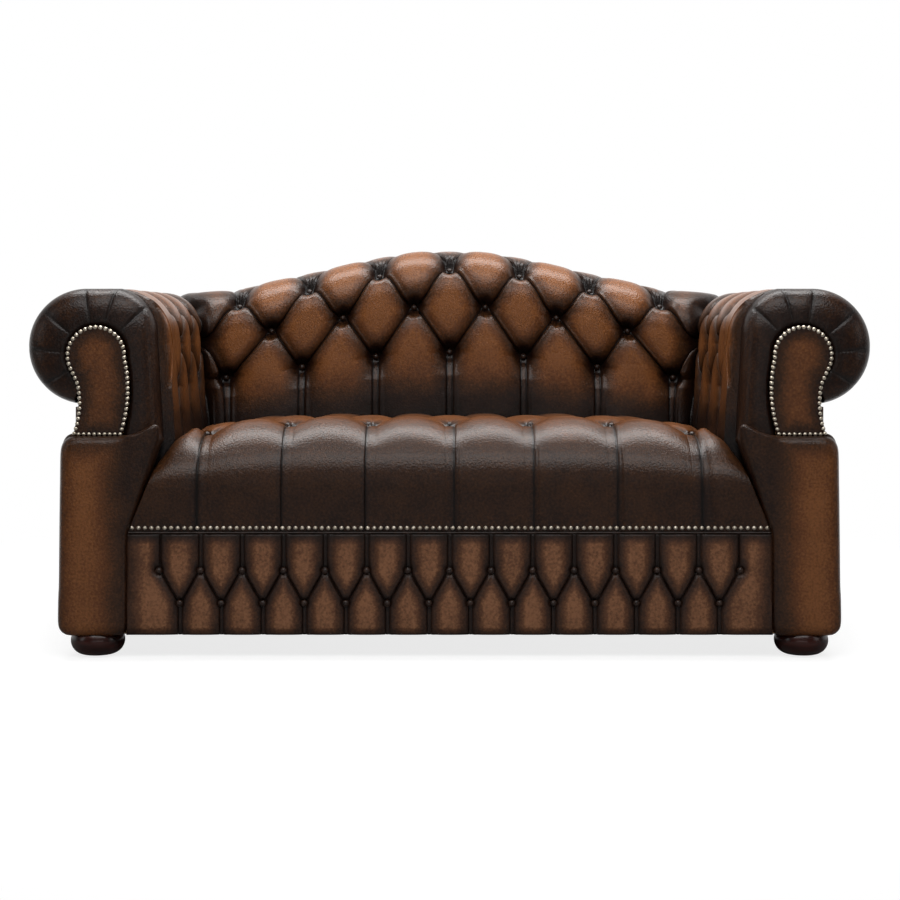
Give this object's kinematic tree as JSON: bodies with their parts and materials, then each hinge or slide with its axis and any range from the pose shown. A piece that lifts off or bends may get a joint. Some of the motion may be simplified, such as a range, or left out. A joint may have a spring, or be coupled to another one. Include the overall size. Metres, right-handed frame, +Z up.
{
  "type": "chesterfield loveseat",
  "caption": "Chesterfield loveseat with rolled arms, serpentine deep-buttoned back, tight buttoned seat, buttoned front border, brass nailing and bun feet.",
  "frame": {"origin": "on the floor under the middle of the overall box", "axes": "+X to the right as seen from the front, +Y to the back, +Z up; the front faces -Y"},
  "size_m": [1.72, 0.8998, 0.8462],
  "materials": {
    "leather": "semi-gloss antiqued brown",
    "border_leather": "semi-gloss antiqued brown",
    "antique_brass": "antiqued",
    "dark_wood": "lacquered mahogany",
    "frame_wood": "sawn hardwood",
    "steel": "plain",
    "plastic": "moulded",
    "jute": "woven",
    "foam": "open foam",
    "black_cloth": "non-woven"
  },
  "bodies": {
    "root": {"arm_buttons_left": "leather", "arm_buttons_right": "leather", "arm_front_post_left": "frame_wood", "arm_front_post_right": "frame_wood", "arm_padding_left": "foam", "arm_padding_right": "foam", "arm_pillar_left": "leather", "arm_pillar_right": "leather", "arm_tack_rail_left": "frame_wood", "arm_tack_rail_right": "frame_wood", "arm_top_rail_left": "frame_wood", "arm_top_rail_right": "frame_wood", "arm_webbing_left": "jute", "arm_webbing_right": "jute", "back_buttons": "leather", "back_padding": "foam", "back_post_left": "frame_wood", "back_post_right": "frame_wood", "back_seat_rail": "frame_wood", "back_tack_rail": "frame_wood", "back_top_rail": "frame_wood", "back_uprights": "frame_wood", "back_webbing": "jute", "border_buttons": "border_leather", "border_padding": "foam", "centre_seat_rail": "frame_wood", "corner_blocks": "frame_wood", "dust_cover": "black_cloth", "facing_nails_left": "antique_brass", "facing_nails_right": "antique_brass", "foot_back_left": "dark_wood", "foot_back_right": "dark_wood", "foot_bolts": "steel", "foot_front_left": "dark_wood", "foot_front_right": "dark_wood", "foot_glides": "plastic", "front_border_cover": "border_leather", "front_seat_rail": "frame_wood", "inside_arm_cover_left": "leather", "inside_arm_cover_right": "leather", "inside_back_cover": "leather", "outside_arm_panel_left": "leather", "outside_arm_panel_right": "leather", "outside_back_panel": "leather", "scroll_collar_left": "leather", "scroll_collar_right": "leather", "scroll_facing_left": "leather", "scroll_facing_right": "leather", "seat_buttons": "leather", "seat_cover": "leather", "seat_foam_core": "foam", "seat_hessian": "jute", "seat_nails": "antique_brass", "seat_springs": "steel", "seat_welt": "border_leather", "side_seat_rail_left": "frame_wood", "side_seat_rail_right": "frame_wood", "spring_clips": "steel"}
  },
  "joints": []
}
